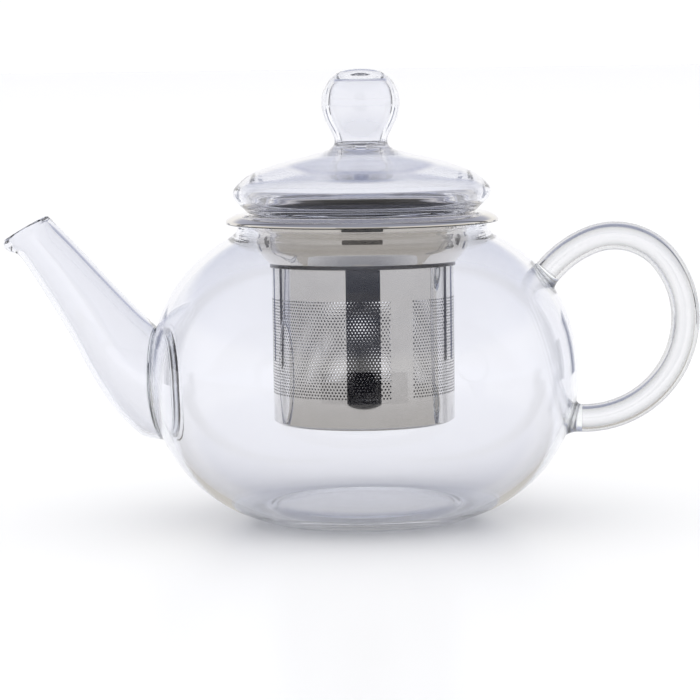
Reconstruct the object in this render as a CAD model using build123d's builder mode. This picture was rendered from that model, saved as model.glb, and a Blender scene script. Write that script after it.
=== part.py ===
"""Glass teapot with a lift-out steel infuser and a glass lid, in millimetres.

+Z is up. The origin is the centre of the flat foot ring that the pot stands on.
The spout points along -X and the handle stands out along +X.
"""

import os
from math import cos, pi, radians, sin

from build123d import *

os.makedirs("parts", exist_ok=True)

# ---------------------------------------------------------------- driving dimensions

# Bowl: a blown shell whose outline is a rounded oval, cut flat at the foot.
belly_radius = 76.4
belly_height = 49.6
below_belly = 53.0
above_belly = 58.7
lower_power = 1.92
upper_power = 2.12
girth_power = 2.80
bowl_wall = 2.3
shoulder_height = 100.0
outline_steps = 9

foot_inner_radius = 34.0
foot_outer_radius = 36.4
foot_edge_height = 1.6
kick_height = 2.8
kick_radius = 31.0
kick_edge_height = 2.0

floor_height = 5.7
floor_radius = 31.0
floor_edge_height = 5.0
trough_radius = 37.5
trough_height = 3.4
inner_wall_start = 6.0
inner_wall_end = 98.5

neck_radius = 44.2
neck_bore = 41.7
neck_base_height = 103.2
neck_bore_base = 102.2
neck_top = 108.7
neck_lip_round = 0.6

# Spout: a straight cone that swells into a bulb where it joins the bowl.
spout_wall = 1.9
spout_tilt = 53.1
spout_apex = (-161.5, 159.4)
spout_half_angle = 6.5
spout_cone_start = 112.0
spout_cone_end = 76.0
spout_root_radius = 20.3
spout_root_height = 48.2
spout_root_start = 66.0
spout_root_end = 73.5
spout_hole_radius = 18.2
spout_hole_reach = 51.0
spout_mouth_half_width = 7.9
spout_mouth = ((-113.2, 108.3), (-129.6, 99.5))
spout_weld_radius = 2.0
spout_weld_reach = 73.6

# Upper and lower edge of the bulb's sections, from the root towards the cone.
spout_bulb = (
    ((-75.4, 68.8), (-79.0, 29.2)),
    ((-76.4, 69.8), (-84.2, 32.8)),
    ((-77.4, 70.9), (-89.6, 38.3)),
    ((-78.8, 72.3), (-94.6, 45.2)),
    ((-81.0, 74.6), (-99.5, 53.6)),
)

# Handle: a bent tube held off the bowl by a bead of solid glass at each end.
handle_radius = 4.95
handle_wall = 1.5
handle_start = (65.9, 87.7)
handle_start_heading = 50.0
handle_arcs = ((38.0, 28.0), (22.6, 74.0), (33.0, 41.0), (35.8, 88.0))
weld_neck_radius = 5.2
weld_foot_radius = 7.4
weld_neck_length = 1.2
weld_length = 4.6

# Infuser: spun and rolled steel sheet.
collar_sheet = 0.5
flange_top = neck_top + collar_sheet
flange_lip_radius = 47.6
flange_lip_height = 106.3
flange_bead_radius = 0.9
flange_flat_radius = 45.7
collar_throat_radius = 39.0
collar_throat_height = 98.6
collar_radius = 37.3
collar_shoulder_height = 94.8
collar_hem_top = 91.2
collar_hem_bottom = 89.7
flange_lip_bend = 3.0
flange_bend = 1.2
throat_bend = 4.0
shoulder_bend = 1.6
hem_bend = 0.9
hem_gap = 0.03

screen_radius = 32.3
screen_sheet = 0.35
screen_bottom = 35.6
screen_top = 91.6
seam_angle = -59.6
seam_width = 4.2

base_sheet = 0.5
base_bottom = 34.4
base_rim_top = 38.6
base_corner = 1.5

# Lid: a blown dome with a turned-in rim, a plug below it and a hollow knob above it.
lid_wall = 2.3
plug_radius = 36.1
plug_bottom = 98.0
plug_round = 1.0
lid_seat_round = 1.6
lid_seat_inner = 38.6
lid_seat_outer = 40.6
lid_rim_radius = 45.8
lid_rim_height = 116.4
lid_crown_radius = 9.7
lid_crown_height = 131.9
lid_crown_slope = -0.15

# Points down the dome from the crown to the rim, and one point on the turned-in rim.
dome_outside = ((24.3, 128.3), (37.1, 124.4), (43.6, 120.3))
dome_inside = ((23.8, 126.0), (36.1, 122.2), (41.6, 119.2))
rim_outside = (44.0, 112.6)
rim_inside = (41.9, 113.7)

lid_weld_rise = 1.0
lid_weld_bore = 2.2
knob_bottom = lid_crown_height + lid_weld_rise
knob_top = 160.0
knob_radius = 13.85
knob_belly_height = 147.6
knob_neck_radius = 9.5
knob_neck_height = 135.6
knob_wall = 2.7
knob_crown_wall = 3.7

# Where the knob's outer and inner walls pass below and above its widest place.
knob_waist_outside = (12.2, 141.1)
knob_waist_inside = (9.3, 141.6)
knob_crown_outside = (11.4, 155.3)
knob_crown_inside = (8.6, 153.6)


# ---------------------------------------------------------------- shared shapes


def wall_radius(height, inset=0.0):
    """Radius of the bowl's surface at a height, inset from the outer wall."""
    above = height > belly_height
    rise = (above_belly if above else below_belly) - inset
    power = upper_power if above else lower_power
    share = abs(height - belly_height) / rise
    return (belly_radius - inset) * (1 - share**power) ** (1 / girth_power)


def wall_points(low, high, inset=0.0):
    """Points up the bowl's wall, closer together near the foot and the shoulder."""
    fractions = [(1 - cos(pi * step / outline_steps)) / 2 for step in range(outline_steps + 1)]
    heights = [low + (high - low) * fraction for fraction in fractions]
    return [(wall_radius(height, inset), height) for height in heights]


def cone_edges(distance):
    """Upper and lower edge of the spout's straight cone, at a distance from its apex."""
    tilt = radians(spout_tilt)
    radius = distance * sin(radians(spout_half_angle)) / cos(radians(spout_half_angle))
    x = spout_apex[0] + distance * cos(tilt)
    z = spout_apex[1] - distance * sin(tilt)
    across = (radius * sin(tilt), radius * cos(tilt))
    return (x + across[0], z + across[1]), (x - across[0], z - across[1])


def section_plane(upper, lower):
    """Plane through an upper and a lower edge point of the spout, facing out of it."""
    middle = Vector((upper[0] + lower[0]) / 2, 0, (upper[1] + lower[1]) / 2)
    rise = Vector(upper[0] - lower[0], 0, upper[1] - lower[1])
    facing = rise.cross(Vector(0, 1, 0)).normalized()
    return Plane(origin=middle, x_dir=(0, 1, 0), z_dir=facing)


def section_outline(upper, lower, inset=0.0):
    """Round section of the spout, a little narrower than it is high at the mouth."""
    height = Vector(upper[0] - lower[0], upper[1] - lower[1]).length / 2
    if (upper, lower) == spout_mouth:
        return Ellipse(spout_mouth_half_width - inset, height - inset)
    return Circle(height - inset)


outer_wall = wall_points(foot_edge_height, shoulder_height)
inner_wall = wall_points(inner_wall_start, inner_wall_end, bowl_wall)

# Upper and lower edge of every spout section, from the root inside the bowl to the mouth.
root_top = spout_root_height + spout_root_radius
root_foot = spout_root_height - spout_root_radius
spout_sections = (
    ((-spout_root_start, root_top), (-spout_root_start, root_foot)),
    ((-spout_root_end, root_top), (-spout_root_end, root_foot)),
    *spout_bulb,
    cone_edges(spout_cone_start),
    cone_edges(spout_cone_end),
    spout_mouth,
)

# The bowl and the spout as filled bodies, which shape whatever is fused onto them.
with BuildPart() as bowl_body:
    with BuildSketch(Plane.XZ):
        with BuildLine():
            Line((0, 0), (foot_outer_radius, 0))
            Spline(
                (foot_outer_radius, 0),
                *outer_wall,
                (neck_radius, neck_base_height),
                tangents=((1, 0), (0, 1)),
            )
            Line((neck_radius, neck_base_height), (neck_radius, neck_top))
            Line((neck_radius, neck_top), (0, neck_top))
            Line((0, neck_top), (0, 0))
        make_face()
    revolve(axis=Axis.Z)

with BuildPart() as spout_body:
    for upper, lower in spout_sections:
        with BuildSketch(section_plane(upper, lower)):
            section_outline(upper, lower)
    loft(ruled=True)

# ---------------------------------------------------------------- pot

with BuildPart() as glass_bowl:
    add(bowl_body.part)
    rim = glass_bowl.edges().filter_by(GeomType.CIRCLE).sort_by(Axis.Z)[-1]
    fillet(rim, neck_lip_round)
    with BuildSketch(Plane.XZ):
        with BuildLine():
            Spline(
                (0, floor_height),
                (floor_radius, floor_edge_height),
                (trough_radius, trough_height),
                *inner_wall,
                (neck_bore, neck_bore_base),
                tangents=((1, 0), (0, 1)),
            )
            Line((neck_bore, neck_bore_base), (neck_bore, neck_top))
            Line((neck_bore, neck_top), (0, neck_top))
            Line((0, neck_top), (0, floor_height))
        make_face()
    revolve(axis=Axis.Z, mode=Mode.SUBTRACT)
    with BuildSketch(Plane.XZ):
        with BuildLine():
            Line((0, 0), (foot_inner_radius, 0))
            Line((foot_inner_radius, 0), (kick_radius, kick_edge_height))
            Line((kick_radius, kick_edge_height), (0, kick_height))
            Line((0, kick_height), (0, 0))
        make_face()
    revolve(axis=Axis.Z, mode=Mode.SUBTRACT)
    with BuildSketch(Plane(origin=(-spout_hole_reach, 0, spout_root_height), z_dir=(-1, 0, 0))):
        Circle(spout_hole_radius)
    extrude(amount=spout_hole_reach, mode=Mode.SUBTRACT)
glass_bowl.part.label = "glass_bowl"
export_step(glass_bowl.part, "parts/glass_bowl.step")

with BuildPart() as spout:
    for stretch in zip(spout_sections, spout_sections[1:]):
        for inset, mode in ((0.0, Mode.ADD), (spout_wall, Mode.SUBTRACT)):
            for upper, lower in stretch:
                with BuildSketch(section_plane(upper, lower)):
                    section_outline(upper, lower, inset)
            loft(ruled=True, mode=mode)
    add(bowl_body.part, mode=Mode.SUBTRACT)
spout.part.label = "spout"
export_step(spout.part, "parts/spout.step")

with BuildPart() as spout_weld:
    with Locations((-spout_weld_reach, 0, spout_root_height)):
        Torus(spout_root_radius, spout_weld_radius, rotation=(0, 90, 0))
    add(bowl_body.part, mode=Mode.SUBTRACT)
    add(spout_body.part, mode=Mode.SUBTRACT)
spout_weld.part.label = "spout_weld"
export_step(spout_weld.part, "parts/spout_weld.step")

with BuildLine(Plane.XZ) as handle_line:
    heading = radians(handle_start_heading)
    arc_start = handle_start
    arc_tangent = (cos(heading), sin(heading))
    for arc_radius, arc_sweep in handle_arcs:
        arc = JernArc(start=arc_start, tangent=arc_tangent, radius=arc_radius, arc_size=-arc_sweep)
        arc_start, arc_tangent = arc @ 1, arc % 1
handle_path = handle_line.wire()

with BuildPart() as handle_tube:
    with BuildSketch(Plane(origin=handle_path @ 0, z_dir=handle_path % 0)):
        Circle(handle_radius)
        Circle(handle_radius - handle_wall, mode=Mode.SUBTRACT)
    sweep(path=handle_path)
handle_tube.part.label = "handle_tube"
export_step(handle_tube.part, "parts/handle_tube.step")

weld_sections = (
    (0.0, handle_radius),
    (weld_neck_length, weld_neck_radius),
    (weld_length, weld_foot_radius),
)

with BuildPart() as upper_handle_weld:
    for distance, section_radius in weld_sections:
        with BuildSketch(Plane(origin=handle_path @ 0, z_dir=-(handle_path % 0)).offset(distance)):
            Circle(section_radius)
    loft()
    add(bowl_body.part, mode=Mode.SUBTRACT)
upper_handle_weld.part.label = "upper_handle_weld"
export_step(upper_handle_weld.part, "parts/upper_handle_weld.step")

with BuildPart() as lower_handle_weld:
    for distance, section_radius in weld_sections:
        with BuildSketch(Plane(origin=handle_path @ 1, z_dir=handle_path % 1).offset(distance)):
            Circle(section_radius)
    loft()
    add(bowl_body.part, mode=Mode.SUBTRACT)
lower_handle_weld.part.label = "lower_handle_weld"
export_step(lower_handle_weld.part, "parts/lower_handle_weld.step")

# ---------------------------------------------------------------- infuser

with BuildPart() as infuser_collar:
    with BuildSketch(Plane.XZ):
        with BuildLine():
            FilletPolyline(
                (flange_lip_radius, flange_lip_height),
                (flange_flat_radius, flange_top - collar_sheet / 2),
                (collar_throat_radius - collar_sheet / 2, flange_top - collar_sheet / 2),
                (collar_radius - collar_sheet / 2, collar_throat_height),
                (collar_radius - collar_sheet / 2, collar_shoulder_height),
                (screen_radius + hem_gap + collar_sheet / 2, collar_hem_top),
                (screen_radius + hem_gap + collar_sheet / 2, collar_hem_bottom),
                radius=(flange_lip_bend, flange_bend, throat_bend, shoulder_bend, hem_bend),
            )
            offset(amount=collar_sheet / 2)
        make_face()
        with Locations((flange_lip_radius, flange_lip_height)):
            Circle(flange_bead_radius)
    revolve(axis=Axis.Z)
infuser_collar.part.label = "infuser_collar"
export_step(infuser_collar.part, "parts/infuser_collar.step")

with BuildPart() as infuser_screen:
    with BuildSketch(Plane.XY.offset(screen_bottom)):
        Circle(screen_radius)
    extrude(amount=screen_top - screen_bottom)
    lap = cos(radians(seam_angle)) * screen_radius, sin(radians(seam_angle)) * screen_radius
    with BuildSketch(Plane.XY.offset(screen_bottom)):
        Circle(screen_radius + screen_sheet)
        with Locations(Location(lap, seam_angle)):
            Rectangle(screen_radius, seam_width, mode=Mode.INTERSECT)
    extrude(amount=collar_hem_bottom - collar_sheet - screen_bottom)
    with BuildSketch(Plane.XY.offset(screen_bottom)):
        Circle(screen_radius - screen_sheet)
    extrude(amount=screen_top - screen_bottom, mode=Mode.SUBTRACT)
infuser_screen.part.label = "infuser_screen"
export_step(infuser_screen.part, "parts/infuser_screen.step")

with BuildPart() as infuser_base:
    with BuildSketch(Plane.XZ):
        wall_line = screen_radius - screen_sheet - base_sheet / 2
        floor_line = base_bottom + base_sheet / 2
        with BuildLine():
            Line((0, floor_line), (wall_line - base_corner, floor_line))
            RadiusArc(
                (wall_line - base_corner, floor_line),
                (wall_line, floor_line + base_corner),
                -base_corner,
            )
            Line((wall_line, floor_line + base_corner), (wall_line, base_rim_top))
            offset(amount=base_sheet / 2)
        make_face()
        with Locations((-base_sheet, floor_line)):
            Rectangle(2 * base_sheet, 2 * base_sheet, mode=Mode.SUBTRACT)
    revolve(axis=Axis.Z)
infuser_base.part.label = "infuser_base"
export_step(infuser_base.part, "parts/infuser_base.step")

# ---------------------------------------------------------------- lid

crown_edge = lid_crown_radius, lid_crown_height
crown_inner_edge = lid_crown_radius, lid_crown_height - lid_wall
rim_edge = lid_rim_radius, lid_rim_height
rim_inner_edge = lid_rim_radius - lid_wall, lid_rim_height
seat_edge = lid_seat_outer, flange_top
seat_inner_edge = lid_seat_inner, flange_top + lid_wall

with BuildPart() as lid_dome:
    with BuildSketch(Plane.XZ):
        with BuildLine():
            Spline(crown_edge, *dome_outside, rim_edge, tangents=((1, lid_crown_slope), (0, -1)))
            Spline(rim_edge, rim_outside, seat_edge, tangents=((0, -1), (-1, -1)))
            FilletPolyline(
                seat_edge,
                (plug_radius, flange_top),
                (plug_radius, plug_bottom),
                (plug_radius - lid_wall, plug_bottom),
                (plug_radius - lid_wall, flange_top + lid_wall),
                seat_inner_edge,
                radius=(lid_seat_round, plug_round, plug_round, lid_seat_round),
            )
            Spline(seat_inner_edge, rim_inside, rim_inner_edge, tangents=((1, 0), (0, 1)))
            Spline(
                rim_inner_edge,
                *reversed(dome_inside),
                crown_inner_edge,
                tangents=((0, 1), (-1, -lid_crown_slope)),
            )
            Line(crown_inner_edge, crown_edge)
        make_face()
    revolve(axis=Axis.Z)
lid_dome.part.label = "lid_dome"
export_step(lid_dome.part, "parts/lid_dome.step")

with BuildPart() as lid_weld:
    with BuildSketch(Plane.XY.offset(lid_crown_height - lid_wall)):
        Circle(lid_crown_radius)
        Circle(lid_weld_bore, mode=Mode.SUBTRACT)
    extrude(amount=lid_wall + lid_weld_rise)
lid_weld.part.label = "lid_weld"
export_step(lid_weld.part, "parts/lid_weld.step")

knob_foot = lid_crown_radius, knob_bottom
knob_inner_foot = lid_crown_radius - knob_wall, knob_bottom
knob_neck = knob_neck_radius, knob_neck_height
knob_inner_neck = knob_neck_radius - knob_wall, knob_neck_height
knob_belly = knob_radius, knob_belly_height
knob_inner_belly = knob_radius - knob_wall, knob_belly_height
knob_crown = 0, knob_top
knob_inner_crown = 0, knob_top - knob_crown_wall

with BuildPart() as lid_knob:
    with BuildSketch(Plane.XZ):
        with BuildLine():
            Line(knob_foot, knob_neck)
            Spline(knob_neck, knob_waist_outside, knob_belly, tangents=((0, 1), (0, 1)))
            Spline(knob_belly, knob_crown_outside, knob_crown, tangents=((0, 1), (-1, 0)))
            Line(knob_crown, knob_inner_crown)
            Spline(knob_inner_crown, knob_crown_inside, knob_inner_belly, tangents=((1, 0), (0, -1)))
            Spline(knob_inner_belly, knob_waist_inside, knob_inner_neck, tangents=((0, -1), (0, -1)))
            Line(knob_inner_neck, knob_inner_foot)
            Line(knob_inner_foot, knob_foot)
        make_face()
    revolve(axis=Axis.Z)
lid_knob.part.label = "lid_knob"
export_step(lid_knob.part, "parts/lid_knob.step")
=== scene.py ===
"""Looks for the glass teapot: blown glass, spun steel and a plain white studio.

Lengths of the pot are in millimetres, and its meshes are made in metres. Lengths of the studio
round it are in metres. Angles with a name of their own are in degrees.
"""

from math import cos, hypot, pi, radians, sin, sqrt, tau

import bmesh
import bpy
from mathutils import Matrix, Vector


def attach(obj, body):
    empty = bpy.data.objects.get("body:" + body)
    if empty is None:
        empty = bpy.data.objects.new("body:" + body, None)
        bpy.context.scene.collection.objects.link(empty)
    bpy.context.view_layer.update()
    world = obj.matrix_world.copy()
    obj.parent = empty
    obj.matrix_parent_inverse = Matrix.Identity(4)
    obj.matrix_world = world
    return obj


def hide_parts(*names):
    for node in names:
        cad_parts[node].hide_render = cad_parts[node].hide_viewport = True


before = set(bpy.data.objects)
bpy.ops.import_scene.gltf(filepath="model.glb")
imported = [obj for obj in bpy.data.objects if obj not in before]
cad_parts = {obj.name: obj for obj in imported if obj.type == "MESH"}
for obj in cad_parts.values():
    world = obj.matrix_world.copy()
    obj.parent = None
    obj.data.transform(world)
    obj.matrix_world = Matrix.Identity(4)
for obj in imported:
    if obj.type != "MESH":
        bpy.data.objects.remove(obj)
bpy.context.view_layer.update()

MM = 0.001
SAME_PLACE = 2e-7
AROUND = 192

# ---------------------------------------------------------------- curves


def neighbours(items, closed):
    """Each item with the next one; if closed, also the last one with the first."""
    return list(zip(items, items[1:] + items[:1] if closed else items[1:]))


def cut_corners(points, times, closed=False):
    """The polyline with its corners cut again and again, which rounds it."""
    for _ in range(times):
        cut = []
        for a, b in neighbours(points, closed):
            cut.append(tuple(p * 0.75 + q * 0.25 for p, q in zip(a, b)))
            cut.append(tuple(p * 0.25 + q * 0.75 for p, q in zip(a, b)))
        points = cut if closed else [points[0]] + cut[1:-1] + [points[-1]]
    return points


def through(points, steps):
    """A smooth curve through the points, with that many steps from each to the next."""
    ends = [Vector(p) for p in points]
    ends = [ends[0] * 2 - ends[1]] + ends + [ends[-1] * 2 - ends[-2]]
    curve = []
    for a, b, c, d in zip(ends, ends[1:], ends[2:], ends[3:]):
        bend = a * 2 - b * 5 + c * 4 - d
        twist = b * 3 - a - c * 3 + d
        for step in range(steps):
            t = step / steps
            curve.append((b * 2 + (c - a) * t + bend * t**2 + twist * t**3) / 2)
    return [tuple(p) for p in curve] + [tuple(ends[-2])]


def smooth_rings(rings, steps):
    """The rings with that many steps from each to the next, on curves through like points."""
    lines = [through(line, steps) for line in zip(*rings)]
    return [list(ring) for ring in zip(*lines)]


def sheet_loop(middle, thickness):
    """The closed outline of a sheet whose middle line is given as (radius, height) points."""
    left, right = [], []
    for i, point in enumerate(middle):
        before, after = middle[max(i - 1, 0)], middle[min(i + 1, len(middle) - 1)]
        along = Vector((after[0] - before[0], after[1] - before[1])).normalized()
        across = Vector((-along.y, along.x)) * thickness / 2
        left.append((point[0] + across.x, point[1] + across.y))
        right.append((point[0] - across.x, point[1] - across.y))
    return left + right[::-1]


# ---------------------------------------------------------------- meshes


def finish_mesh(name, bm, sharp_angle=0):
    """Mends, turns and shades a mesh, and links it as an object."""
    bmesh.ops.remove_doubles(bm, verts=bm.verts, dist=SAME_PLACE)
    loose = [e for e in bm.edges if not e.link_faces]
    bmesh.ops.delete(bm, geom=loose, context="EDGES")
    bmesh.ops.recalc_face_normals(bm, faces=bm.faces)
    mesh = bpy.data.meshes.new(name)
    bm.to_mesh(mesh)
    bm.free()
    mesh.shade_smooth()
    if sharp_angle:
        mesh.set_sharp_from_angle(angle=radians(sharp_angle))
    obj = bpy.data.objects.new(name, mesh)
    bpy.context.scene.collection.objects.link(obj)
    return obj


def ring_solid(name, rings, closed=True, sharp_angle=0, capped=False):
    """A solid skinned over rings of points; if closed, the last ring joins the first."""
    bm = bmesh.new()
    rows = [[bm.verts.new(Vector(p) * MM) for p in ring] for ring in rings]
    for low, high in neighbours(rows, closed):
        for k in range(len(low)):
            m = (k + 1) % len(low)
            bm.faces.new((low[k], low[m], high[m], high[k]))
    if capped:
        bm.faces.new(rows[0])
        bm.faces.new(rows[-1][::-1])
    return finish_mesh(name, bm, sharp_angle)


def lathe(name, outline, closed=False, around=AROUND):
    """A solid turned from (radius, height) points about the pot's axis."""
    turns = [(cos(tau * k / around), sin(tau * k / around)) for k in range(around)]
    rings = [[(r * c, r * s, z) for c, s in turns] for r, z in outline]
    return ring_solid(name, rings, closed)


# ---------------------------------------------------------------- the bowl's surface

BELLY_RADIUS, BELLY_HEIGHT = 76.4, 49.6
RISE_BELOW, RISE_ABOVE = 53.0, 58.7
POWER_BELOW, POWER_ABOVE, POWER_GIRTH = 1.92, 2.12, 2.80
FARTHEST_REACH, HALVINGS = 40.0, 40


def wall_radius(height, inset=0.0):
    """Radius of the bowl's surface at a height, inset from the outer wall."""
    above = height > BELLY_HEIGHT
    rise = (RISE_ABOVE if above else RISE_BELOW) - inset
    power = POWER_ABOVE if above else POWER_BELOW
    share = min(abs(height - BELLY_HEIGHT) / rise, 1.0)
    return (BELLY_RADIUS - inset) * (1 - share**power) ** (1 / POWER_GIRTH)


def wall_points(low, high, steps, inset=0.0):
    """Points up the bowl's wall, closer together near the foot and the shoulder."""
    fractions = [(1 - cos(pi * step / steps)) / 2 for step in range(steps + 1)]
    heights = [low + (high - low) * fraction for fraction in fractions]
    return [(wall_radius(height, inset), height) for height in heights]


def wall_depth(point, inset=0.0):
    """How far a point is outside the bowl's surface, level with it; below 0 is inside."""
    return hypot(point.x, point.y) - wall_radius(point.z, inset)


def reach_wall(start, direction, inset):
    """Distance along a direction from a start outside the bowl to its surface."""
    low, high = 0.0, FARTHEST_REACH
    for _ in range(HALVINGS):
        middle = (low + high) / 2
        if wall_depth(start + direction * middle, inset) > 0:
            low = middle
        else:
            high = middle
    return high


# ---------------------------------------------------------------- glass pieces

BOWL_WALL = 2.3
SPOUT_HEIGHT = 48.2
ROOT_RADIUS = 20.3
HOLE_AROUND = 160


def conforming_ring(radius, depth, around):
    """A ring round the spout's axis that follows the bowl's surface, that deep inside it."""
    ring = []
    for k in range(around):
        angle = tau * k / around
        y, z = radius * sin(angle), SPOUT_HEIGHT + radius * cos(angle)
        wall_x = -sqrt(wall_radius(z) ** 2 - y**2)
        ring.append((wall_x + depth, y, z))
    return ring


def cut_spout_hole(bowl):
    """Cuts the flared hole that opens into the spout."""
    # radius and depth of the cutter's rings, from outside the bowl to its inside
    flare = [
        (18.0, -3.0), (18.45, 0.1), (18.5, 0.7), (18.5, 1.2), (18.95, 1.65), (19.6, 2.0),
        (20.4, 2.25), (21.6, 2.5),
    ]
    flare = through(flare, steps=3)
    rings = [conforming_ring(radius, depth, HOLE_AROUND) for radius, depth in flare]
    cutter = ring_solid("hole_cutter", rings, closed=False, capped=True)
    hole = bowl.modifiers.new("hole", "BOOLEAN")
    hole.object = cutter
    hole.solver = "EXACT"
    bpy.context.view_layer.update()
    evaluated = bowl.evaluated_get(bpy.context.evaluated_depsgraph_get())
    cut_mesh = bpy.data.meshes.new_from_object(evaluated)
    bowl.modifiers.clear()
    bowl.data = cut_mesh
    bowl.data.shade_smooth()
    bowl.data.set_sharp_from_angle(angle=radians(50))
    bpy.data.objects.remove(cutter)


def make_bowl():
    """The blown bowl, with the hole that opens into the spout."""
    foot = [
        (0, 2.8), (6, 2.8), (16, 2.7), (26, 2.4), (31, 1.9), (32.6, 1.0), (34.0, 0.1), (35.2, 0.0),
        (36.6, 0.1), (38.4, 0.75),
    ]
    outer = wall_points(low=1.9, high=100.5, steps=26)
    brim = [
        (44.4, 103.0), (44.2, 105.2), (44.2, 107.2), (44.0, 108.15), (43.2, 108.6), (42.2, 108.5),
        (41.8, 107.8), (41.7, 105.4), (41.75, 102.6), (42.6, 100.6),
    ]
    inner = wall_points(low=6.4, high=98.9, steps=24, inset=BOWL_WALL)
    bottom = [
        (41.5, 4.4), (37.5, 3.5), (34.5, 3.9), (31.6, 4.8), (27, 5.2), (16, 5.55), (6, 5.7), (0, 5.7),
    ]
    outline = foot + outer + brim + inner[::-1] + bottom
    bowl = lathe("bowl", cut_corners(outline, times=1))
    cut_spout_hole(bowl)
    return bowl


SPOUT_AROUND, SPOUT_STEPS = 128, 7
SPOUT_WALL = 1.9
LIP_THINNING, LIP_RINGS = 0.5, 4
SPOUT_ROOT = ((0.9, 1.9), (-0.8, 1.95))  # depth in the bowl's wall, thickness
SPOUT_EDGES = (
    # upper edge, lower edge, half width
    ((-75.4, 68.9), (-78.9, 29.0), 20.0),
    ((-76.4, 69.9), (-84.0, 32.7), 18.9),
    ((-77.4, 70.9), (-89.6, 38.5), 17.2),
    ((-78.8, 72.3), (-94.6, 45.5), 15.4),
    ((-81.2, 74.7), (-99.6, 53.8), 13.8),
    ((-86.2, 79.8), (-105.0, 64.2), 12.1),
    ((-94.8, 88.9), (-112.2, 76.6), 10.5),
    ((-103.4, 98.1), (-119.0, 87.4), 9.3),
    ((-109.4, 104.3), (-122.8, 93.1), 8.5),
    ((-111.6, 106.6), (-124.8, 95.1), 8.2),
    ((-112.6, 107.7), (-127.2, 95.9), 8.15),
    ((-113.1, 108.2), (-129.0, 97.0), 8.15),
    ((-113.3, 108.5), (-129.7, 98.7), 8.15),
)
RIM_EDGES = ((-114.0, 108.7), (-129.4, 99.9), 7.75)
LIP_INSIDE_EDGES = (
    ((-114.6, 106.7), (-126.9, 98.1), 6.9),
    ((-114.7, 107.6), (-128.2, 99.6), 7.05),
)


def section_ring(upper, lower, half_width, inset=0.0):
    """An oval ring through the spout's upper and lower edge points."""
    middle = Vector(((upper[0] + lower[0]) / 2, 0, (upper[1] + lower[1]) / 2))
    arm = Vector(((upper[0] - lower[0]) / 2, 0, (upper[1] - lower[1]) / 2))
    arm *= 1 - inset / arm.length
    side = half_width - inset
    ring = []
    for k in range(SPOUT_AROUND):
        angle = tau * k / SPOUT_AROUND
        ring.append(tuple(middle + arm * cos(angle) + Vector((0, side * sin(angle), 0))))
    return ring


def make_spout():
    """The spout, from inside the bowl's wall to the curled pouring lip."""
    outside = [conforming_ring(ROOT_RADIUS, depth, SPOUT_AROUND) for depth, _ in SPOUT_ROOT]
    inside = [conforming_ring(ROOT_RADIUS - wall, depth, SPOUT_AROUND) for depth, wall in SPOUT_ROOT]
    last = len(SPOUT_EDGES) - 1
    for i, edges in enumerate(SPOUT_EDGES):
        outside.append(section_ring(*edges))
        thinning = LIP_THINNING * max(0, i - last + LIP_RINGS) / LIP_RINGS
        inside.append(section_ring(*edges, SPOUT_WALL - thinning))
    inside[-2:] = [section_ring(*edges) for edges in LIP_INSIDE_EDGES]
    outer_skin, inner_skin = smooth_rings(outside, SPOUT_STEPS), smooth_rings(inside, SPOUT_STEPS)
    rings = outer_skin + [section_ring(*RIM_EDGES)] + inner_skin[::-1]
    return ring_solid("spout", rings, sharp_angle=60)


def make_spout_weld():
    """The bead of fused glass round the foot of the spout."""
    # distance out from the spout's root, depth in the bowl's wall
    section = [(-0.3, 0.4), (1.2, 0.1), (0.6, -0.4), (0.3, -0.8), (0.08, -1.5), (-0.3, -1.5)]
    section = cut_corners(section, times=2, closed=True)
    rings = [conforming_ring(ROOT_RADIUS + out, depth, HOLE_AROUND) for out, depth in section]
    return ring_solid("spout_seam", rings)


HANDLE_RADIUS, HANDLE_WALL = 4.95, 1.5
HANDLE_START, HANDLE_HEADING = (65.9, 87.7), 50.0
HANDLE_ARCS = ((38.0, 28.0), (22.6, 74.0), (33.0, 41.0), (35.8, 88.0))  # radius, sweep
HANDLE_AROUND, STATION_SWEEP = 64, 3.5
UPPER_FOOT_RADIUS, LOWER_FOOT_RADIUS = 7.0, 7.6
BEAD_EDGE_DEPTH, BEAD_CORE_DEPTH = 0.9, 1.1
BEAD_GAP, BEAD_STEPS = 0.02, 14


def handle_stations():
    """Points and headings along the handle's middle line."""
    point, heading = Vector((HANDLE_START[0], 0, HANDLE_START[1])), radians(HANDLE_HEADING)
    stations = [(point.copy(), heading)]
    for radius, sweep in HANDLE_ARCS:
        steps = max(4, round(sweep / STATION_SWEEP))
        for _ in range(steps):
            turn = radians(sweep) / steps
            chord = 2 * radius * sin(turn / 2)
            heading -= turn / 2
            point = point + Vector((cos(heading), 0, sin(heading))) * chord
            heading -= turn / 2
            stations.append((point.copy(), heading))
    return stations


def tube_ring(point, heading, radius):
    """A ring square to a heading in the plane of the handle."""
    up = Vector((-sin(heading), 0, cos(heading)))
    ring = []
    for k in range(HANDLE_AROUND):
        angle = tau * k / HANDLE_AROUND
        ring.append(tuple(point + up * radius * cos(angle) + Vector((0, radius * sin(angle), 0))))
    return ring


def make_handle(stations):
    """The bent tube, its ends drawn shut where it is welded on."""
    bore = HANDLE_RADIUS - HANDLE_WALL
    outside = [tube_ring(point, heading, HANDLE_RADIUS) for point, heading in stations]
    inside = [tube_ring(point, heading, bore) for point, heading in stations]
    return ring_solid("handle_loop", outside + inside[::-1], sharp_angle=50)


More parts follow.
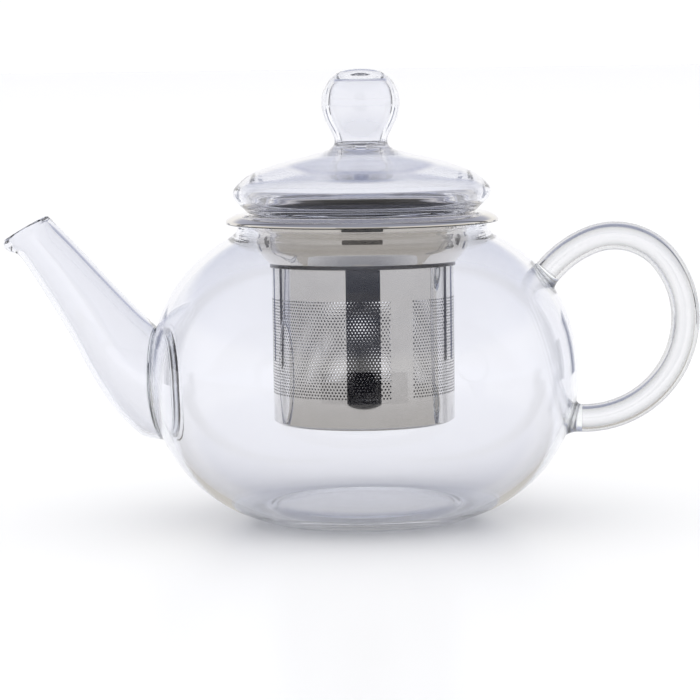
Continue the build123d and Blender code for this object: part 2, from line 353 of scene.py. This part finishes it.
def make_handle_weld(name, point, heading, foot_radius):
    """A flared bead of solid glass between the tube's end and the bowl."""
    direction = Vector((cos(heading), 0, sin(heading)))
    up = Vector((-sin(heading), 0, cos(heading)))
    lines = []
    for k in range(HANDLE_AROUND):
        angle = tau * k / HANDLE_AROUND
        out = up * cos(angle) + Vector((0, sin(angle), 0))
        start = point + out * HANDLE_RADIUS
        reach = reach_wall(point + out * foot_radius, direction, BEAD_EDGE_DEPTH)
        core, gap = point + out * HANDLE_RADIUS * 0.5, direction * BEAD_GAP
        line = [tuple(point + gap), tuple(core + gap)]
        for step in range(BEAD_STEPS + 1):
            u = step / BEAD_STEPS
            flare = out * (foot_radius - HANDLE_RADIUS) * u**3
            line.append(tuple(start + flare + direction * reach * u))
        for foot in (point + out * foot_radius * 0.5, point):
            line.append(tuple(foot + direction * reach_wall(foot, direction, BEAD_CORE_DEPTH)))
        lines.append(line)
    rings = [list(ring) for ring in zip(*lines)]
    return ring_solid(name, rings, closed=False, sharp_angle=40)


def make_lid():
    """The lid: knob, dome, turned-in rim and plug as one piece of fused glass."""
    knob = [
        (0, 160.0), (3.0, 159.95), (5.9, 159.4), (8.5, 158.2), (10.3, 156.7), (11.5, 155.3), (12.5, 153.6),
        (13.3, 151.8), (13.8, 149.8), (13.9, 147.9), (13.75, 145.6), (13.2, 143.1), (12.3, 141.0),
        (11.3, 139.2), (10.3, 137.4), (9.6, 135.8), (9.3, 134.4), (9.6, 133.0), (10.6, 131.9),
    ]
    dome = [
        (12.6, 131.1), (17.8, 129.7), (24.3, 128.3), (31.1, 126.5), (37.1, 124.3), (41.2, 122.1),
        (44.0, 119.6), (45.4, 117.9), (45.85, 116.3), (45.5, 114.6), (44.0, 112.7), (42.0, 111.0),
        (40.9, 109.8), (40.0, 109.25),
    ]
    plug = [
        (38.6, 109.2), (37.2, 109.1), (36.3, 108.4), (36.1, 106.6), (36.1, 102.0), (36.1, 99.2),
        (35.6, 98.1), (34.9, 98.0), (34.2, 98.2), (33.8, 99.4), (33.8, 103.0), (33.8, 108.0),
    ]
    dome_inside = [
        (34.2, 110.6), (35.6, 111.5), (37.9, 111.7), (40.0, 112.4), (41.9, 113.7), (43.2, 115.2),
        (43.5, 116.6), (42.9, 118.0), (41.2, 119.6), (38.9, 121.0), (35.4, 122.5), (30.2, 124.2),
        (23.8, 126.0), (17.2, 127.5), (12.0, 128.7), (8.0, 129.4), (4.4, 129.7),
    ]
    knob_inside = [
        (2.4, 130.1), (2.1, 131.0), (2.4, 131.9), (3.8, 132.3), (5.8, 132.5), (6.7, 133.2), (6.8, 134.8),
        (7.3, 136.6), (8.2, 138.6), (9.2, 140.6), (10.2, 142.8), (10.9, 145.2), (11.1, 147.6), (10.9, 150.0),
        (10.4, 152.3), (9.6, 154.2), (8.6, 155.5), (7.0, 156.1), (4.0, 156.3), (0, 156.35),
    ]
    return lathe("lid", cut_corners(knob + dome + plug + dome_inside + knob_inside, times=2))


# ---------------------------------------------------------------- steel pieces

COLLAR_SHEET, COLLAR_AROUND = 0.5, 256
BASE_SHEET = 0.48


def make_collar():
    """The spun collar: flange with a rolled edge, tapered throat, shoulder and hem."""
    flange = [
        (47.75, 106.4), (47.65, 106.05), (47.95, 105.8), (48.25, 106.1), (48.1, 106.65), (47.4, 107.3),
        (46.2, 108.05), (44.9, 108.6), (43.2, 108.95), (41.6, 109.0),
    ]
    throat = [
        (40.0, 108.9), (39.2, 108.75), (38.75, 108.2), (38.55, 107.2), (38.4, 106.0), (38.3, 104.9),
        (38.3, 103.2), (38.05, 102.3), (37.55, 101.0), (37.35, 100.1), (37.35, 98.9), (37.1, 97.7),
    ]
    shoulder_and_hem = [
        (36.85, 96.8), (36.65, 96.2), (36.3, 95.6), (35.7, 94.9), (33.6, 92.65), (33.0, 92.05),
        (32.65, 91.6), (32.6, 91.2), (32.75, 90.9), (32.65, 90.5),
    ]
    middle = cut_corners(flange + throat + shoulder_and_hem, times=2)
    return lathe("collar", sheet_loop(middle, COLLAR_SHEET), closed=True, around=COLLAR_AROUND)


def make_base():
    """The pressed disc that closes the basket's foot."""
    middle = [
        (0, 34.65), (8, 34.65), (18, 34.65), (27, 34.65), (30.2, 34.7), (31.3, 35.0), (31.7, 35.9),
        (31.7, 38.5),
    ]
    loop = sheet_loop(cut_corners(middle, times=2), BASE_SHEET)
    return lathe("basket_floor", [(max(r, 0.0), z) for r, z in loop])


SCREEN_RADIUS, SCREEN_SHEET = 32.3, 0.35
SCREEN_LOW, SCREEN_HIGH = 35.6, 91.4
HOLE_ROWS, HOLE_COLUMNS = 33, 162
HOLE_FIELD_LOW = 45.6
HOLE_SIZE = 0.37
SEAM_ANGLE, SEAM_BAND = -59.6, 14.0
SEAM_MARGIN, SEAM_STEPS, EDGE_STEPS = 0.6, 6, 3


def make_screen():
    """The perforated sheet: hexagonal cells with a punched hole in each, and a plain lapped seam."""
    pitch = radians(360 - SEAM_BAND) * SCREEN_RADIUS / HOLE_COLUMNS
    half, side = pitch / 2, pitch / (2 * sqrt(3))
    row_step = 3 * side
    first = HOLE_FIELD_LOW + side
    start = radians(SEAM_ANGLE + SEAM_BAND / 2)
    outer, inner = SCREEN_RADIUS, SCREEN_RADIUS - SCREEN_SHEET
    bm = bmesh.new()
    made = {}

    def at(s, z, radius):
        """The vertex that far round the sheet and that high, made once."""
        key = (round(s, 4), round(z, 4), radius)
        if key not in made:
            angle = start + s / SCREEN_RADIUS
            made[key] = bm.verts.new(Vector((radius * cos(angle), radius * sin(angle), z)) * MM)
        return made[key]

    def across(a, b, c, d):
        """A face on each side of the sheet, between four points on it."""
        for radius in (outer, inner):
            corners = [at(*point, radius) for point in (a, b, c, d)]
            if len(set(corners)) == 4:
                bm.faces.new(corners)

    def edge_face(a, b):
        """A face through the sheet's thickness, between two points on it."""
        bm.faces.new((at(*a, outer), at(*b, outer), at(*b, inner), at(*a, inner)))

    def fill(line_a, line_b):
        """Faces on both sides of the sheet between two lines with as many points each."""
        for (a, b), (c, d) in zip(neighbours(line_a, False), neighbours(line_b, False)):
            across(a, b, d, c)

    # the cells, with every other row set over by half a pitch
    for row in range(HOLE_ROWS):
        odd = row % 2
        z = first + row * row_step
        for column in range(HOLE_COLUMNS - odd):
            s = (column + 0.5 + odd / 2) * pitch
            cell = [(s, z + 2 * side), (s - half, z + side), (s - half, z - side)]
            cell += [(s, z - 2 * side), (s + half, z - side), (s + half, z + side)]
            angles = [radians(90 + 60 * k) for k in range(6)]
            hole = [(s + HOLE_SIZE * cos(angle), z + HOLE_SIZE * sin(angle)) for angle in angles]
            for k in range(6):
                m = (k + 1) % 6
                across(cell[k], cell[m], hole[m], hole[k])
                edge_face(hole[k], hole[m])

    # the plain bands below and above the holes, column by column
    width = HOLE_COLUMNS * pitch
    top = first + (HOLE_ROWS - 1) * row_step
    top_odd = (HOLE_ROWS - 1) % 2
    low_edge, high_edge = first - 3 * side, top + 3 * side
    columns = [k * half for k in range(2 * HOLE_COLUMNS + 1)]
    low_zig = [(s, first - (2 * side if k % 2 else side)) for k, s in enumerate(columns)]
    high_zig = [(s, top + (2 * side if (k + top_odd) % 2 else side)) for k, s in enumerate(columns)]
    fill(low_zig, [(s, low_edge) for s in columns])
    fill(high_zig, [(s, high_edge) for s in columns])

    # the margins beside the holes, then the seam between them
    left, right = [(0.0, low_edge)], [(width, low_edge)]
    for row in range(HOLE_ROWS):
        odd = row % 2
        z = first + row * row_step
        for dz in (-side, side):
            left.append((odd * half, z + dz))
            right.append((width - odd * half, z + dz))
    left.append((0.0, high_edge))
    right.append((width, high_edge))
    margin = pitch * SEAM_MARGIN
    fill(left, [(-margin, z) for _, z in left])
    fill(right, [(width + margin, z) for _, z in right])
    full = tau * SCREEN_RADIUS
    seam_width = full - width - 2 * margin
    seam_columns = [width + margin + seam_width * k / SEAM_STEPS for k in range(SEAM_STEPS + 1)]
    heights = [z for _, z in left]
    for a, b in neighbours(seam_columns, False):
        fill([(a, z) for z in heights], [(b, z) for z in heights])

    # the plain edges of the sheet
    around = columns[:-1] + [width, width + margin] + seam_columns[1:-1] + [full - margin, full]
    for edge, line in ((SCREEN_LOW, low_edge), (SCREEN_HIGH, high_edge)):
        steps = [edge + (line - edge) * k / EDGE_STEPS for k in range(EDGE_STEPS + 1)]
        for z0, z1 in neighbours(steps, False):
            fill([(s, z0) for s in around], [(s, z1) for s in around])
        for a, b in neighbours(around, False):
            edge_face((a, edge), (b, edge))
    return finish_mesh("screen", bm, sharp_angle=35)


# ---------------------------------------------------------------- shader nodes


def new_material(name):
    """A new material, with its nodes, links and main shader."""
    material = bpy.data.materials.new(name)
    material.use_nodes = True
    tree = material.node_tree
    return material, tree.nodes, tree.links, tree.nodes["Principled BSDF"]


def math_node(nodes, links, operation, a, b=0.0):
    """The result of an operation on numbers or other nodes' outputs."""
    node = nodes.new("ShaderNodeMath")
    node.operation = operation
    for socket, value in zip(node.inputs, (a, b)):
        if isinstance(value, (int, float)):
            socket.default_value = value
        else:
            links.new(value, socket)
    return node.outputs[0]


def map_range(nodes, links, value, old, new):
    """The value carried over from the old (low, high) range to the new one, and held in it."""
    node = nodes.new("ShaderNodeMapRange")
    for socket, limit in zip(("From Min", "From Max", "To Min", "To Max"), (*old, *new)):
        node.inputs[socket].default_value = limit
    links.new(value, node.inputs["Value"])
    return node.outputs["Result"]


def ramp(nodes, links, value, stops):
    """The colour that the value picks from (place, colour) stops."""
    node = nodes.new("ShaderNodeValToRGB")
    first, *between, last = stops
    for element, (place, colour) in zip(node.color_ramp.elements, (first, last)):
        element.position = place
        element.color = (*colour, 1)
    for place, colour in between:
        node.color_ramp.elements.new(place).color = (*colour, 1)
    links.new(value, node.inputs["Fac"])
    return node.outputs["Color"]


def noise(nodes, links, vector, scale, detail):
    """Soft noise, from 0 to 1."""
    node = nodes.new("ShaderNodeTexNoise")
    node.inputs["Scale"].default_value = scale
    node.inputs["Detail"].default_value = detail
    links.new(vector, node.inputs["Vector"])
    return node.outputs["Fac"]


def bump(nodes, links, shader, height, strength, distance):
    """Presses a height into the shader's surface, up to a distance in metres."""
    node = nodes.new("ShaderNodeBump")
    node.inputs["Strength"].default_value = strength
    node.inputs["Distance"].default_value = distance
    links.new(height, node.inputs["Height"])
    links.new(node.outputs["Normal"], shader.inputs["Normal"])


def mix_surface(nodes, links, factor, at_zero, at_one):
    """Makes the material's surface a mix of two shaders."""
    node = nodes.new("ShaderNodeMixShader")
    links.new(factor, node.inputs["Fac"])
    links.new(at_zero, node.inputs[1])
    links.new(at_one, node.inputs[2])
    links.new(node.outputs["Shader"], nodes["Material Output"].inputs["Surface"])


def mix_colour(nodes, links, factor, at_zero, at_one):
    """A mix of another node's colour and a plain one."""
    node = nodes.new("ShaderNodeMix")
    node.data_type = "RGBA"
    links.new(factor, node.inputs["Factor"])
    links.new(at_zero, node.inputs["A"])
    node.inputs["B"].default_value = (*at_one, 1)
    return node.outputs["Result"]


# ---------------------------------------------------------------- materials

GLASS_IOR = 1.47
RIPPLE_DEPTH, GRAIN_DEPTH = 0.0004, 0.0002
SMUDGE_ROUGHNESS = 0.03
MARK_TONE, GRAIN_SPREAD = 0.93, 1.8


def glass_material(name, tint, edge, reach, ripple, ripple_scale, shade):
    """Blown glass with a slow ripple, darker where it is seen edge on: partly its own colour through a
    longer path, partly painted shade.

    The colour goes from tint to edge over the reach of slants, and shade is the share of light
    that passes through where the glass casts its shadow.
    """
    material, nodes, links, shader = new_material(name)
    slant = nodes.new("ShaderNodeLayerWeight")
    slant.inputs["Blend"].default_value = 0.5
    # Partly painted shade: the colour darkens towards the rims seen edge on.
    depth = ramp(nodes, links, slant.outputs["Facing"], ((reach[0], tint), (reach[1], edge)))
    links.new(depth, shader.inputs["Base Color"])
    shader.inputs["Transmission Weight"].default_value = 1.0
    shader.inputs["IOR"].default_value = GLASS_IOR
    place = nodes.new("ShaderNodeTexCoord").outputs["Object"]
    waves = noise(nodes, links, place, scale=ripple_scale, detail=2.0)
    bump(nodes, links, shader, waves, ripple, RIPPLE_DEPTH)
    smudge = noise(nodes, links, place, scale=38.0, detail=6.0)
    roughness = map_range(nodes, links, smudge, old=(0.55, 0.8), new=(0.0, SMUDGE_ROUGHNESS))
    links.new(roughness, shader.inputs["Roughness"])
    path = nodes.new("ShaderNodeLightPath")
    lighting = math_node(
        nodes, links, "MAXIMUM", path.outputs["Is Shadow Ray"], path.outputs["Is Diffuse Ray"]
    )
    clear = nodes.new("ShaderNodeBsdfTransparent")
    clear.inputs["Color"].default_value = (*shade, 1)
    mix_surface(nodes, links, lighting, shader.outputs["BSDF"], clear.outputs["BSDF"])
    return material


def steel_material(name, colour, roughness, grain, relief):
    """Bright rolled or spun stainless steel with fine drawn grain and faint water marks.

    The grain is how much finer the noise is along each axis.
    """
    material, nodes, links, shader = new_material(name)
    shader.inputs["Metallic"].default_value = 1.0
    place = nodes.new("ShaderNodeTexCoord").outputs["Object"]
    stretch = nodes.new("ShaderNodeMapping")
    stretch.inputs["Scale"].default_value = grain
    links.new(place, stretch.inputs["Vector"])
    drawn = noise(nodes, links, stretch.outputs["Vector"], scale=60.0, detail=5.0)
    marks = noise(nodes, links, place, scale=55.0, detail=4.0)
    marked = tuple(c * MARK_TONE for c in colour)
    links.new(ramp(nodes, links, marks, ((0.3, marked), (0.7, colour))), shader.inputs["Base Color"])
    rough = map_range(nodes, links, drawn, old=(0.3, 0.7), new=(roughness, roughness * GRAIN_SPREAD))
    links.new(rough, shader.inputs["Roughness"])
    bump(nodes, links, shader, drawn, relief, GRAIN_DEPTH)
    return material


def put(obj, material, body, slot, *nodes):
    """Dresses a piece, ties it to its body and hides the CAD nodes it stands for; the slot is not used."""
    obj.data.materials.clear()
    obj.data.materials.append(material)
    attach(obj, body)
    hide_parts(*nodes)


def paint_shade_on_faces(obj, material, chosen):
    """Gives the faces that chosen(height, outward, upward) picks a second material, a darker steel that
    paints shade on them.
    """
    obj.data.materials.append(material)
    for face in obj.data.polygons:
        away = Vector((face.center.x, face.center.y, 0)).normalized()
        if chosen(face.center.z / MM, face.normal.dot(away), face.normal.z):
            face.material_index = 1


HEM_TOP, FLANGE_LOW, THROAT_TOP = 91.85, 104.0, 106.3
FACES_IN, FACES_DOWN = -0.2, -0.3


def painted_shade_on_collar(height, outward, upward):
    """Where shade is painted: the hem's crevice, the inside below the flange and the flange's underside."""
    inside = outward < FACES_IN and height < THROAT_TOP
    under_flange = upward < FACES_DOWN and height > FLANGE_LOW
    return height < HEM_TOP or inside or under_flange


def painted_shade_on_screen(height, outward, upward):
    """Where shade is painted: the inside of the sheet and the holes' inward faces."""
    return outward < FACES_IN


# The edge colours are partly the glass's own colour seen through more of it and partly painted shade at its
# rims; the handle's is the darkest.
CLEAR = (0.925, 0.93, 0.957)
EDGE = (0.80, 0.815, 0.86)
bowl_glass = glass_material(
    "bowl_glass", CLEAR, EDGE, reach=(0.35, 1.0), ripple=0.05, ripple_scale=22.0, shade=(0.79, 0.795, 0.81)
)
spout_glass = glass_material(
    "spout_glass", CLEAR, EDGE, reach=(0.15, 1.0), ripple=0.05, ripple_scale=30.0, shade=(0.90, 0.905, 0.92)
)
weld_glass = glass_material(
    "weld_glass", (0.965, 0.98, 0.975), (0.88, 0.90, 0.89),
    reach=(0.35, 1.0), ripple=0.08, ripple_scale=160.0, shade=(0.90, 0.91, 0.91),
)
handle_glass = glass_material(
    "handle_glass", (0.97, 0.972, 0.98), (0.47, 0.475, 0.47),
    reach=(0.0, 0.9), ripple=0.06, ripple_scale=60.0, shade=(0.86, 0.87, 0.88),
)
lid_glass = glass_material(
    "lid_glass", CLEAR, (0.68, 0.69, 0.74),
    reach=(0.45, 1.0), ripple=0.06, ripple_scale=40.0, shade=(0.93, 0.935, 0.95),
)
EVEN = (1, 1, 1)
collar_steel = steel_material("collar_steel", (0.75, 0.725, 0.68), 0.025, grain=(1, 1, 9), relief=0.01)
screen_steel = steel_material("screen_steel", (0.74, 0.73, 0.715), 0.015, grain=(1, 1, 0.08), relief=0.004)
base_steel = steel_material("base_steel", (0.70, 0.69, 0.67), 0.06, EVEN, relief=0.03)
# Painted shade: a near-black steel for the collar's shaded hem, inside and flange underside, and a dark
# steel for the screen's shaded inside.
painted_shade_steel = steel_material("painted_shade_steel", (0.11, 0.105, 0.10), 0.12, EVEN, relief=0.02)
painted_inside_shade_steel = steel_material("painted_inside_shade_steel", (0.30, 0.29, 0.28), 0.18, EVEN, relief=0.05)

put(make_bowl(), bowl_glass, "pot", "bowl_glass", "glass_bowl")
put(make_spout(), spout_glass, "pot", "spout_glass", "spout")
put(make_spout_weld(), weld_glass, "pot", "weld_glass", "spout_weld")
handle_line = handle_stations()
put(make_handle(handle_line), handle_glass, "pot", "handle_glass", "handle_tube")
first_point, first_heading = handle_line[0]
last_point, last_heading = handle_line[-1]
upper_weld = make_handle_weld("upper_bead", first_point, first_heading + pi, UPPER_FOOT_RADIUS)
lower_weld = make_handle_weld("lower_bead", last_point, last_heading, LOWER_FOOT_RADIUS)
put(upper_weld, weld_glass, "pot", "weld_glass", "upper_handle_weld")
put(lower_weld, weld_glass, "pot", "weld_glass", "lower_handle_weld")
collar = make_collar()
put(collar, collar_steel, "infuser", "collar_steel", "infuser_collar")
# Painted shade on the collar's hem, its inside below the flange and the flange's underside.
paint_shade_on_faces(collar, painted_shade_steel, painted_shade_on_collar)
screen = make_screen()
put(screen, screen_steel, "infuser", "screen_steel", "infuser_screen")
# Painted shade on the screen's inside and its holes' inward faces.
paint_shade_on_faces(screen, painted_inside_shade_steel, painted_shade_on_screen)
put(make_base(), base_steel, "infuser", "base_steel", "infuser_base")
put(make_lid(), lid_glass, "lid", "lid_glass", "lid_dome", "lid_weld", "lid_knob")

# ---------------------------------------------------------------- floor and sky

FLOOR_REACH = 60.0
YAW = 6.0  # how far round the pot the view is, from the pot's -Y axis towards +X


def make_floor():
    """The pale floor that the pot stands on."""
    bm = bmesh.new()
    bmesh.ops.create_grid(bm, x_segments=1, y_segments=1, size=FLOOR_REACH)
    floor = finish_mesh("floor", bm)
    material, _, _, shader = new_material("floor_white")
    shader.inputs["Base Color"].default_value = (0.885, 0.885, 0.892, 1)
    shader.inputs["Roughness"].default_value = 0.28
    shader.inputs["Specular IOR Level"].default_value = 0.2
    floor.data.materials.append(material)


GAP_SIDE, GAP_HALF_WIDTH, GAP_SOFTNESS, GAP_SHARE = 124, 6, 0.6, 0.9
GAP_COLOUR = (0.05, 0.05, 0.055)
SKY_STOPS = (
    # how far up, from level at 0 to overhead at 1, and the colour there
    (0.0, (0.95, 0.95, 0.97)),
    (0.27, (1.0, 0.99, 0.98)),
    (0.40, (0.52, 0.54, 0.65)),
    (0.70, (0.34, 0.36, 0.46)),
    (1.0, (0.36, 0.38, 0.47)),
)
LIGHT, EXTRA_LIGHT = 1.06, 0.24


def band(nodes, links, value, centre):
    """1 in the gap round a centre and 0 beyond it, with a soft edge."""
    away = math_node(nodes, links, "ABSOLUTE", math_node(nodes, links, "SUBTRACT", value, centre))
    half_width, soft = radians(GAP_HALF_WIDTH), radians(GAP_SOFTNESS)
    return map_range(nodes, links, away, old=(half_width - soft, half_width + soft), new=(1.0, 0.0))


def make_world():
    """A white room, which glass and steel show as a sky with a dark gap at each side behind.

    The camera sees plain white, and matt surfaces get the light of plain white and a little more.
    """
    world = bpy.data.worlds.new("studio")
    bpy.context.scene.world = world
    world.use_nodes = True
    nodes, links = world.node_tree.nodes, world.node_tree.links
    background = nodes["Background"]
    turn = nodes.new("ShaderNodeVectorRotate")
    turn.rotation_type = "Z_AXIS"
    turn.inputs["Angle"].default_value = radians(-YAW)
    links.new(nodes.new("ShaderNodeTexCoord").outputs["Generated"], turn.inputs["Vector"])
    split = nodes.new("ShaderNodeSeparateXYZ")
    links.new(turn.outputs["Vector"], split.inputs["Vector"])
    forward = math_node(nodes, links, "MULTIPLY", split.outputs["Y"], -1.0)
    azimuth = math_node(nodes, links, "ARCTAN2", split.outputs["X"], forward)
    left_gap = band(nodes, links, azimuth, radians(-GAP_SIDE))
    right_gap = band(nodes, links, azimuth, radians(GAP_SIDE))
    gap = math_node(nodes, links, "MAXIMUM", left_gap, right_gap)
    gap = math_node(nodes, links, "MULTIPLY", gap, GAP_SHARE)
    sky = ramp(nodes, links, split.outputs["Z"], SKY_STOPS)
    mirrored = mix_colour(nodes, links, gap, sky, GAP_COLOUR)
    path = nodes.new("ShaderNodeLightPath")
    matt = path.outputs["Is Diffuse Ray"]
    plain = math_node(nodes, links, "MAXIMUM", path.outputs["Is Camera Ray"], matt)
    links.new(mix_colour(nodes, links, plain, mirrored, (1.0, 1.0, 1.0)), background.inputs["Color"])
    extra = math_node(nodes, links, "MULTIPLY", matt, EXTRA_LIGHT)
    links.new(math_node(nodes, links, "ADD", LIGHT, extra), background.inputs["Strength"])


make_floor()
make_world()

# ---------------------------------------------------------------- what the steel mirrors

CARD_NEAREST, SHEET_NEAREST = 0.27, 0.02
CARD_LIFT, SHEET_LIFT = 0.002, 0.0002
SHEET_ARC_STEP, SHEET_ARC_STEPS = 5, 42
WARM_GREY = (0.60, 0.575, 0.53)


def mirror_only(name, stops, nearest):
    """A glow that only mirrors show, from its front and from at least that many metres off.

    Its colour goes by the distance from the piece's own origin, which a card has at its middle
    and a sheet under the pot; a single stop is its colour all over.
    """
    material, nodes, links, shader = new_material(name)
    nodes.remove(shader)
    glow = nodes.new("ShaderNodeEmission")
    if len(stops) == 1:
        glow.inputs["Color"].default_value = (*stops[0][1], 1)
    else:
        distance = nodes.new("ShaderNodeVectorMath")
        distance.operation = "LENGTH"
        links.new(nodes.new("ShaderNodeTexCoord").outputs["Object"], distance.inputs[0])
        links.new(ramp(nodes, links, distance.outputs["Value"], stops), glow.inputs["Color"])
    path = nodes.new("ShaderNodeLightPath")
    mirrored = math_node(nodes, links, "GREATER_THAN", path.outputs["Glossy Depth"], 0.5)
    back = nodes.new("ShaderNodeNewGeometry").outputs["Backfacing"]
    front = math_node(nodes, links, "SUBTRACT", 1.0, back)
    far = math_node(nodes, links, "GREATER_THAN", path.outputs["Ray Length"], nearest)
    shown = math_node(nodes, links, "MULTIPLY", mirrored, front)
    shown = math_node(nodes, links, "MULTIPLY", shown, far)
    clear = nodes.new("ShaderNodeBsdfTransparent")
    mix_surface(nodes, links, shown, clear.outputs["BSDF"], glow.outputs["Emission"])
    return material


def stage_card(obj, material):
    """Puts a card or sheet on the stage, out of the camera's sight and of the light's way."""
    obj.data.materials.append(material)
    obj.visible_camera = False
    obj.visible_diffuse = False
    obj.visible_shadow = False


def make_card(name, distance, side, width, height, material):
    """An upright card that faces the pot, at a distance and that many degrees from the view."""
    bm = bmesh.new()
    bmesh.ops.create_grid(bm, x_segments=1, y_segments=1, size=0.5)
    card = finish_mesh(name, bm)
    card.scale = (width, height, 1)
    facing = radians(YAW + side)
    card.rotation_euler = (radians(-90), 0, facing)
    card.location = (sin(facing) * distance, -cos(facing) * distance, height / 2 + CARD_LIFT)
    stage_card(card, material)


def make_sheet(name, inner, outer, material):
    """A sheet just over the floor: the part of a ring that lies before the pot and beside it."""
    bm = bmesh.new()
    half = SHEET_ARC_STEPS // 2
    angles = [radians(YAW - 90 + SHEET_ARC_STEP * k) for k in range(-half, half + 1)]
    near, far = (
        [bm.verts.new((radius * cos(a), radius * sin(a), SHEET_LIFT)) for a in angles]
        for radius in (inner, outer)
    )
    for k in range(SHEET_ARC_STEPS):
        bm.faces.new((near[k], far[k], far[k + 1], near[k + 1]))
    sheet = finish_mesh(name, bm)
    if sheet.data.polygons[0].normal.z < 0:
        sheet.data.flip_normals()
    stage_card(sheet, material)


black = mirror_only("card_black", [(0.0, (0.010, 0.010, 0.013))], CARD_NEAREST)
dusk = mirror_only("card_dusk", [(0.0, (0.06, 0.06, 0.07))], CARD_NEAREST)
slate = mirror_only("card_slate", [(0.0, (0.28, 0.30, 0.38))], CARD_NEAREST)
grey = mirror_only("card_grey", [(0.16, WARM_GREY), (0.55, (0.80, 0.785, 0.76))], SHEET_NEAREST)
near_grey = mirror_only("card_near_grey", [(0.0, WARM_GREY)], 0.0)

# A black card stands before the pot, out of the view, and the steel shows it as a dark upright
# band. The cards behind each side give the steel its dark edges.
for card in (
    # name, distance, side, width, height, look
    ("card_front", 0.36, 0, 0.27, 0.11, black),
    ("card_left", 0.60, -124, 0.075, 0.115, dusk),
    ("card_right", 0.60, 124, 0.075, 0.115, dusk),
    ("card_back_left", 0.60, -149, 0.08, 0.12, slate),
    ("card_back_right", 0.60, 145, 0.08, 0.12, slate),
):
    make_card(*card)

# Grey sheets just over the floor, under the pot and before it, only dim what the steel mirrors.
make_sheet("grey_disc", 0.002, 0.033, near_grey)
make_sheet("grey_sheet", 0.033, 12.0, grey)

# ---------------------------------------------------------------- camera

EYE_DISTANCE, EYE_HEIGHT = 1.065, 0.1627
AIM_HEIGHT, AIM_SIDE = 0.060, 0.0049
ROLL = 0.8
SENSOR_MM, LENS_MM = 36.0, 154.3

camera_data = bpy.data.cameras.new("camera")
camera = bpy.data.objects.new("camera", camera_data)
bpy.context.scene.collection.objects.link(camera)
bpy.context.scene.camera = camera
towards = Vector((sin(radians(YAW)), -cos(radians(YAW)), 0))
camera_right = Vector((cos(radians(YAW)), sin(radians(YAW)), 0))
camera.location = towards * EYE_DISTANCE + Vector((0, 0, EYE_HEIGHT))
aim = Vector((0, 0, AIM_HEIGHT)) - camera_right * AIM_SIDE
camera.rotation_euler = (aim - camera.location).to_track_quat("-Z", "Y").to_euler()
camera.rotation_euler.rotate_axis("Z", radians(-ROLL))
camera_data.sensor_width = SENSOR_MM
camera_data.lens = LENS_MM

scene = bpy.context.scene
scene.view_settings.view_transform = "Standard"
scene.cycles.max_bounces = 48
scene.cycles.transmission_bounces = 40
scene.cycles.glossy_bounces = 40
scene.cycles.transparent_max_bounces = 24
